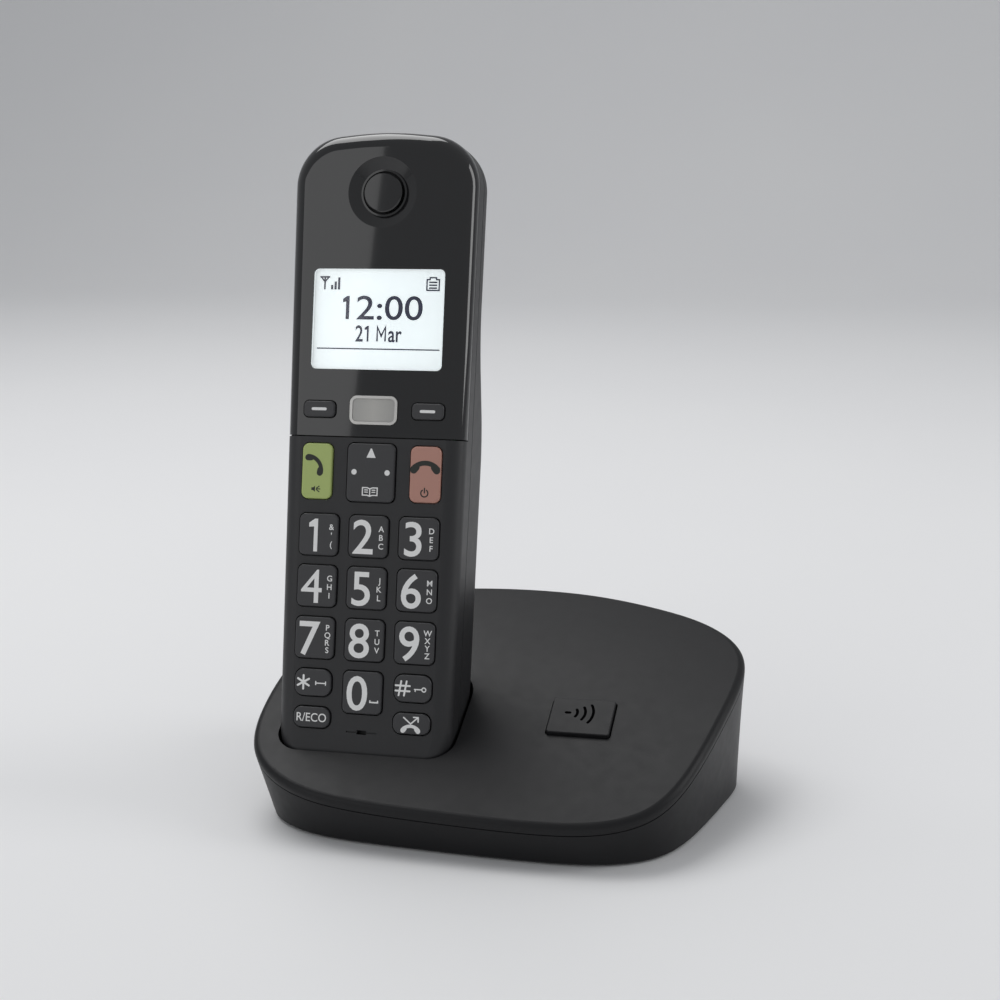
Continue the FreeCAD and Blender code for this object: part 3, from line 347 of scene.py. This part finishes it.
class Print:
    """Flat marks on one face, drawn in millimetres from its middle and gathered into one thin closed mesh."""

    def __init__(self):
        self.mesh = bmesh.new()
        self.top = INK

    def area(self, outline):
        """A filled outline."""
        self.top += STEP
        low = [self.mesh.verts.new((x, y, 0)) for x, y in outline]
        high = [self.mesh.verts.new((x, y, self.top)) for x, y in outline]
        self.mesh.faces.new(reversed(low))
        self.mesh.faces.new(high)
        for i in range(len(outline)):
            self.mesh.faces.new((low[i - 1], low[i], high[i], high[i - 1]))

    def disc(self, x, y, radius, sides=24):
        steps = [2 * math.pi * i / sides for i in range(sides)]
        self.area([(x + radius * math.cos(t), y + radius * math.sin(t)) for t in steps])

    def stroke(self, points, width):
        """An open line of even width with round ends."""
        half = width / 2
        points = [Vector(p) for p in points]
        ahead = [(b - a).normalized() for a, b in zip(points, points[1:])]
        sides = []
        for i, point in enumerate(points):
            before, after = ahead[max(i - 1, 0)], ahead[min(i, len(ahead) - 1)]
            bend = (before + after).normalized()
            reach = half / max(0.35, bend.dot(after))
            sides.append((point, Vector((-bend.y, bend.x)) * reach))
        outline = [p - n for p, n in sides] + self.end(points[-1], ahead[-1], half)
        outline += [p + n for p, n in reversed(sides)] + self.end(points[0], -ahead[0], half)
        self.area(outline)

    @staticmethod
    def end(point, heading, half):
        start = math.atan2(heading.y, heading.x) - math.pi / 2
        steps = [start + math.pi * i / ROUND_ENDS for i in range(1, ROUND_ENDS)]
        return [point + Vector((math.cos(t), math.sin(t))) * half for t in steps]

    def arc(self, x, y, radius, start, stop, width, steps=18):
        """A stroke along a circle, between two angles in degrees."""
        angles = [math.radians(start + (stop - start) * i / steps) for i in range(steps + 1)]
        self.stroke([(x + radius * math.cos(t), y + radius * math.sin(t)) for t in angles], width)

    def words(self, words, x, y, height, weight=0.0, widen=1.0, span=None):
        """Letters of one capital height, with their middle at a point, set to a span across where one is given."""
        self.top += STEP
        scale = height / CAPITAL
        mesh = text_mesh(words, weight, 0.5)
        across = [v.co.x for v in mesh.vertices]
        middle = (min(across) + max(across)) / 2
        if span:
            widen = span / (max(across) - min(across)) / scale
        for vertex in mesh.vertices:
            z = self.top if vertex.co.z > 0 else 0.0
            vertex.co = (x + (vertex.co.x - middle) * scale * widen, y + (vertex.co.y - CAPITAL / 2) * scale, z)
        self.mesh.from_mesh(mesh)
        bpy.data.meshes.remove(mesh)

    def one(self, x, y, height, width):
        """The digit 1 with a flag; x is the middle of its stem."""
        top, half, reach = y + height / 2, width / 2, height * 0.22
        self.area([(x - half, y - height / 2), (x + half, y - height / 2), (x + half, top), (x - half * 0.6, top),
                   (x - reach, top - height * 0.13), (x - reach, top - height * 0.13 - width),
                   (x - half, top - height * 0.24)])

    def piece(self, name, matrix, material, body, slot):
        """Lay the print on its face as one piece that rides on a body."""
        bmesh.ops.transform(self.mesh, matrix=matrix, verts=self.mesh.verts)
        bmesh.ops.remove_doubles(self.mesh, verts=self.mesh.verts, dist=1e-9)
        data = bpy.data.meshes.new(name)
        self.mesh.to_mesh(data)
        self.mesh.free()
        data.materials.append(material)
        made = bpy.data.objects.new(name, data)
        bpy.context.scene.collection.objects.link(made)
        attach(made, body)
        return made


def turned(points, angle, x, y):
    """Points turned about the origin by an angle in degrees, then moved."""
    c, s = math.cos(math.radians(angle)), math.sin(math.radians(angle))
    return [(x + px * c - py * s, y + px * s + py * c) for px, py in points]


def receiver_sign(sheet, x, y, width, angle):
    """A telephone receiver from the side: a bowed bar, thicker at its two ends."""
    reach = math.radians(48)
    radius = width / 2 / math.sin(reach)
    steps = [-reach + 2 * reach * i / 14 for i in range(15)]
    drop = radius * math.cos(reach / 2)
    bow = [(radius * math.sin(t), radius * math.cos(t) - drop) for t in steps]
    sheet.stroke(turned(bow, angle, x, y), width * 0.19)
    for side in (-1, 1):
        ex, ey = side * width * 0.40, radius * math.cos(reach * 0.8) - drop
        cap = [(ex - side * width * 0.03, ey - width * 0.02), (ex + side * width * 0.06, ey - width * 0.13)]
        sheet.stroke(turned(cap, angle, x, y), width * 0.29)


def speaker_sign(sheet, x, y):
    """A small loudspeaker with sound going out of it."""
    sheet.area([(x - 1.1, y - 0.36), (x - 0.6, y - 0.36), (x - 0.1, y - 0.8), (x - 0.1, y + 0.8), (x - 0.6, y + 0.36),
                (x - 1.1, y + 0.36)])
    for angle in (-35, 0, 35):
        c, s = math.cos(math.radians(angle)), math.sin(math.radians(angle))
        sheet.stroke([(x + 0.35 * c, y + 0.35 * s), (x + 1.25 * c, y + 1.25 * s)], 0.28)


def power_sign(sheet, x, y):
    sheet.arc(x, y, 0.95, 125, 415, 0.34)
    sheet.stroke([(x, y + 0.1), (x, y + 1.3)], 0.34)


def book_sign(sheet, x, y):
    """An open book with lines on both pages."""
    for side in (-1, 1):
        sheet.stroke([(x, y - 1.1), (x + side * 0.7, y - 0.85), (x + side * 2.0, y - 0.85), (x + side * 2.0, y + 1.1),
                      (x + side * 0.7, y + 1.1), (x, y + 0.8)], 0.3)
        for level in (0.5, -0.05):
            sheet.stroke([(x + side * 0.6, y + level), (x + side * 1.4, y + level)], 0.26)
    sheet.stroke([(x, y + 0.8), (x, y - 1.1)], 0.3)


def block_sign(sheet, x, y):
    """A call that bounces off: an arrow down and away, over a laid-down receiver."""
    sheet.stroke([(x - 1.9, y + 1.45), (x, y - 0.1), (x + 1.8, y + 1.5)], 0.36)
    sheet.stroke([(x + 0.75, y + 1.65), (x + 2.0, y + 1.65), (x + 2.0, y + 0.5)], 0.36)
    receiver_sign(sheet, x, y - 0.95, 4.4, 0)


def tone_sign(sheet, x, y):
    sheet.stroke([(x - 1.2, y), (x + 1.2, y)], 0.3)
    for side in (-1, 1):
        sheet.stroke([(x + side * 1.35, y - 0.42), (x + side * 1.35, y + 0.42)], 0.3)


def lock_key_sign(sheet, x, y):
    """A door key: a ring, a shank and a bit."""
    sheet.arc(x + 1.0, y, 0.52, 0, 350, 0.3, 24)
    sheet.stroke([(x + 0.4, y), (x - 1.5, y)], 0.3)
    sheet.stroke([(x - 1.3, y), (x - 1.3, y - 0.5)], 0.3)


def space_sign(sheet, x, y):
    sheet.stroke([(x - 1.05, y + 0.4), (x - 1.05, y), (x + 1.05, y), (x + 1.05, y + 0.4)], 0.36)


DIGIT_HEIGHT = 8.6
DIGIT_LEFT = -1.35
LETTER_RIGHT = 3.55
LETTER_HEIGHT = 1.45
LETTERS = {"1": "&'(", "2": "ABC", "3": "DEF", "4": "GHI", "5": "JKL", "6": "MNO", "7": "PQRS", "8": "TUV",
           "9": "WXYZ", "0": ""}


def digit_legend(digit):
    """A large digit with its letters in a column on the right."""
    sheet = Print()
    if digit == "1":
        sheet.one(DIGIT_LEFT + 0.6, -0.2, DIGIT_HEIGHT, 1.05)
    else:
        sheet.words(digit, DIGIT_LEFT, -0.2, DIGIT_HEIGHT, 0.0 if digit == "4" else 0.008, 0.98)
    letters = LETTERS[digit]
    pitch = 2.25 if len(letters) < 4 else 1.95
    for i, letter in enumerate(letters):
        sheet.words(letter, LETTER_RIGHT, -0.2 + pitch * ((len(letters) - 1) / 2 - i), LETTER_HEIGHT, 0.012)
    if digit == "0":
        space_sign(sheet, 3.3, -2.3)
    return sheet


def star_legend():
    sheet = Print()
    for angle in (90, 30, 150):
        c, s = math.cos(math.radians(angle)), math.sin(math.radians(angle))
        sheet.stroke([(-2.55 - 1.75 * c, -1.75 * s), (-2.55 + 1.75 * c, 1.75 * s)], 0.55)
    tone_sign(sheet, 2.2, -0.1)
    return sheet


def hash_legend():
    sheet = Print()
    for side in (-1, 1):
        sheet.stroke([(-2.6 + side * 0.72 - 0.3, -1.85), (-2.6 + side * 0.72 + 0.3, 1.85)], 0.48)
        sheet.stroke([(-4.5, side * 0.68), (-0.7, side * 0.68)], 0.48)
    lock_key_sign(sheet, 2.1, -0.1)
    return sheet


def recall_legend():
    sheet = Print()
    sheet.words("R/ECO", 0.0, 0.0, 2.15, 0.006, 0.92)
    return sheet


def block_legend():
    sheet = Print()
    block_sign(sheet, -0.1, 0.15)
    return sheet


def talk_legend():
    sheet = Print()
    receiver_sign(sheet, 0.1, 2.3, 5.6, -50)
    speaker_sign(sheet, -0.2, -4.7)
    return sheet


def off_legend():
    sheet = Print()
    receiver_sign(sheet, 0.0, 2.6, 6.7, 0)
    power_sign(sheet, 0.0, -4.8)
    return sheet


def nav_legend():
    sheet = Print()
    sheet.area([(-1.25, 3.9), (1.25, 3.9), (0.16, 6.3), (-0.16, 6.3)])
    for side in (-1, 1):
        sheet.disc(side * 4.5, 0.1, 0.72)
    book_sign(sheet, 0.0, -5.0)
    return sheet


def soft_legend():
    sheet = Print()
    sheet.stroke([(-1.7, 0), (1.7, 0)], 0.75)
    return sheet


LEGENDS = {"key_" + digit: (lambda digit=digit: digit_legend(digit), LEGEND_WHITE) for digit in LETTERS}
LEGENDS.update({
    "key_star": (star_legend, LEGEND_WHITE), "key_hash": (hash_legend, LEGEND_WHITE),
    "key_recall": (recall_legend, LEGEND_WHITE), "key_block": (block_legend, LEGEND_WHITE),
    "key_talk": (talk_legend, LEGEND_DARK), "key_off": (off_legend, LEGEND_DARK),
    "nav_key": (nav_legend, LEGEND_WHITE), "soft_key_left": (soft_legend, LEGEND_WHITE),
    "soft_key_right": (soft_legend, LEGEND_WHITE)})
BODY_OF = {node: body for body, nodes in frame["record"]["behaviour"]["bodies"].items() for node in nodes}

for node, (draw, ink) in LEGENDS.items():
    draw().piece("legend_" + node, face_matrix(node, RIGHT, ALONG), ink, BODY_OF[node], "display_white")


def display_reading():
    """What the display shows: signal, battery, the time, and the date over a rule."""
    sheet = Print()
    sheet.one(-8.9, 3.2, 6.1, 0.95)
    sheet.words("2:00", 2.6, 3.2, 6.1, 0.006, span=18.0)
    sheet.words("2", -5.45, -3.6, 4.1, 0.012, span=2.1)
    sheet.one(-3.1, -3.6, 4.1, 0.48)
    sheet.stroke([(-0.5, -5.4), (-0.5, -1.8), (0.6, -4.2), (1.7, -1.8), (1.7, -5.4)], 0.46)
    sheet.words("ar", 4.35, -3.6, 4.1, 0.014, span=3.7)
    sheet.stroke([(-16.9, -7.6), (16.4, -7.6)], 0.34)
    sheet.stroke([(-15.4, 8.1), (-15.4, 11.1)], 0.46)
    sheet.stroke([(-16.6, 11.2), (-14.2, 11.2)], 0.44)
    sheet.stroke([(-16.4, 11.1), (-15.4, 9.9), (-14.4, 11.1)], 0.4)
    for i, height in enumerate((1.2, 2.1, 3.2)):
        x = -13.7 + i * 0.95
        sheet.area([(x, 7.9), (x + 0.62, 7.9), (x + 0.62, 7.9 + height), (x, 7.9 + height)])
    sheet.stroke([(12.5, 7.9), (12.5, 10.7), (13.3, 10.7), (13.3, 11.2), (15.0, 11.2), (15.0, 10.7), (15.8, 10.7),
                  (15.8, 7.9), (12.6, 7.9)], 0.38)
    for level in (8.5, 9.25, 10.0):
        sheet.stroke([(13.2, level), (15.1, level)], 0.4)
    return sheet


lens_face = face_matrix("display_lens", RIGHT, ALONG)
panel_face = face_matrix("lcd_module", RIGHT, ALONG)
panel_depth = (panel_face.translation - lens_face.translation).dot(-PRESS)
reading_face = Matrix.Translation(-PRESS * panel_depth) @ lens_face
display_reading().piece("display_reading", reading_face, DISPLAY_INK, BODY_OF["lcd_module"], "cover_black")


def locator_sign():
    """A dot that sends out three rings of sound."""
    sheet = Print()
    sheet.stroke([(-4.1, 1.0), (-3.2, 1.0)], 0.9)
    for radius in (2.8, 4.9, 7.0):
        sheet.arc(-4.0, 1.0, radius, -29, 29, 0.75)
    return sheet


page_up = RIGHT.cross(PAGE_PRESS)
locator_sign().piece("locator_sign", face_matrix("page_button", RIGHT, page_up), SIGN_DARK, BODY_OF["page_button"],
                     "cover_black")


# ---------------------------------------------------------------- wires in the line socket

def wire_tree():
    """Straight, sloping spring wires side by side: count, pitch, thickness, and how far they reach back and down."""
    tree = bpy.data.node_groups.new("socket wires", "GeometryNodeTree")
    tree.interface.new_socket("Wires", in_out="OUTPUT", socket_type="NodeSocketGeometry")
    sockets = {}
    for name, kind in (("Count", "NodeSocketInt"), ("Pitch", "NodeSocketFloat"), ("Thickness", "NodeSocketFloat"),
                       ("Reach", "NodeSocketVector"), ("Start", "NodeSocketVector"), ("Finish", "NodeSocketMaterial")):
        sockets[name] = tree.interface.new_socket(name, in_out="INPUT", socket_type=kind).identifier
    given = tree.nodes.new("NodeGroupInput")

    def add(kind, settings=None, inputs=None, output=0):
        node = tree.nodes.new(kind)
        for key, value in (settings or {}).items():
            setattr(node, key, value)
        for key, value in (inputs or {}).items():
            if isinstance(value, bpy.types.NodeSocket):
                tree.links.new(value, node.inputs[key])
            else:
                node.inputs[key].default_value = value
        return node.outputs[output] if len(node.outputs) else node

    step = add("ShaderNodeCombineXYZ", {}, {"X": given.outputs["Pitch"]})
    line = add("GeometryNodeMeshLine", {}, {"Count": given.outputs["Count"], "Start Location": given.outputs["Start"],
                                            "Offset": step})
    wire = add("GeometryNodeCurvePrimitiveLine", {}, {"End": given.outputs["Reach"]})
    ring = add("GeometryNodeCurvePrimitiveCircle", {}, {"Resolution": 10, "Radius": given.outputs["Thickness"]})
    solid = add("GeometryNodeCurveToMesh", {}, {"Curve": wire, "Profile Curve": ring, "Fill Caps": True})
    placed = add("GeometryNodeInstanceOnPoints", {}, {"Points": line, "Instance": solid})
    real = add("GeometryNodeRealizeInstances", {}, {"Geometry": placed})
    done = add("GeometryNodeSetMaterial", {}, {"Geometry": real, "Material": given.outputs["Finish"]})
    end = tree.nodes.new("NodeGroupOutput")
    tree.links.new(done, end.inputs[0])
    return tree, sockets


def socket_wires():
    """Four sprung wires that slope from the back of the socket's roof towards its mouth."""
    low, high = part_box("line_socket")
    count, pitch = 4, 1.02 * MM
    tree, sockets = wire_tree()
    holder = bpy.data.objects.new("socket_wires", bpy.data.meshes.new("socket_wires"))
    bpy.context.scene.collection.objects.link(holder)
    modifier = holder.modifiers.new("wires", "NODES")
    modifier.node_group = tree
    start = Vector(((low.x + high.x) / 2 - pitch * (count - 1) / 2, high.y - 2.5 * MM, high.z - 3.0 * MM))
    values = {"Count": count, "Pitch": pitch, "Thickness": 0.22 * MM, "Reach": Vector((0, -7.0, -2.6)) * MM,
              "Start": start, "Finish": FINISHES["pad_metal"]}
    for name, value in values.items():
        modifier[sockets[name]] = value
    mesh = bpy.data.meshes.new_from_object(holder.evaluated_get(bpy.context.evaluated_depsgraph_get()))
    holder.modifiers.clear()
    holder.data = mesh
    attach(holder, BODY_OF["line_socket"])


socket_wires()


# ---------------------------------------------------------------- floor, light and camera

FLOOR_HALF = 2.2
WALL_START = 1.1
WALL_BEND = 0.7


def backdrop():
    """A floor that bends up into a wall far behind the telephone."""
    profile = [(-FLOOR_HALF, 0.0), (WALL_START, 0.0)]
    for i in range(1, 17):
        angle = math.pi / 2 * i / 16
        profile.append((WALL_START + WALL_BEND * math.sin(angle), WALL_BEND * (1 - math.cos(angle))))
    profile.append((WALL_START + WALL_BEND, 2.6))
    mesh = bpy.data.meshes.new("backdrop")
    points = [(x, y, z) for y, z in profile for x in (-FLOOR_HALF * 1.6, FLOOR_HALF * 1.6)]
    faces = [(2 * i, 2 * i + 1, 2 * i + 3, 2 * i + 2) for i in range(len(profile) - 1)]
    mesh.from_pydata(points, [], faces)
    mesh.polygons.foreach_set("use_smooth", [True] * len(faces))
    mesh.materials.append(studio_floor("studio floor"))
    made = bpy.data.objects.new("backdrop", mesh)
    bpy.context.scene.collection.objects.link(made)


def soft_light(name, place, aim, width, height, power):
    data = bpy.data.lights.new(name, "AREA")
    data.shape = "RECTANGLE"
    data.size = width
    data.size_y = height
    data.energy = power
    made = bpy.data.objects.new(name, data)
    made.location = place
    made.rotation_euler = (Vector(aim) - Vector(place)).to_track_quat("-Z", "Y").to_euler()
    bpy.context.scene.collection.objects.link(made)


SKY_STRENGTH = 0.42

backdrop()
soft_light("side panel", (-0.5875, -0.70, 0.40), (-0.5875, 0.0, 0.40), 0.625, 0.5, 0.9)
soft_light("top light", (-0.4, 0.3, 1.1), (0.0, 0.0, 0.05), 0.9, 0.7, 7.0)
soft_light("edge light", (0.85, 0.15, 0.45), (0.0, 0.0, 0.08), 0.3, 0.7, 2.0)

world = bpy.data.worlds.new("studio")
bpy.context.scene.world = world
world.use_nodes = True
sky = world.node_tree.nodes["Background"]
sky.inputs["Color"].default_value = (0.95, 0.97, 1.0, 1)
sky.inputs["Strength"].default_value = SKY_STRENGTH

CAMERA_PLACE = Vector((102.26, -422.32, 186.83)) * MM
CAMERA_RIGHT = Vector((0.97308, 0.22983, -0.01697))
CAMERA_FORWARD = Vector((-0.22735, 0.94530, -0.23393))
SENSOR_WIDTH = 36.0     # mm
FOCAL_LENGTH = 61.2     # mm
camera_data = bpy.data.cameras.new("camera")
camera_data.sensor_width = SENSOR_WIDTH
camera_data.lens = FOCAL_LENGTH
camera_data.clip_start = 0.01
camera = bpy.data.objects.new("camera", camera_data)
camera_up = CAMERA_RIGHT.cross(CAMERA_FORWARD)
camera.matrix_world = Matrix.Translation(CAMERA_PLACE) @ Matrix((
    CAMERA_RIGHT, camera_up, -CAMERA_FORWARD)).transposed().to_4x4()
bpy.context.scene.collection.objects.link(camera)
bpy.context.scene.camera = camera
bpy.context.scene.view_settings.view_transform = "Standard"
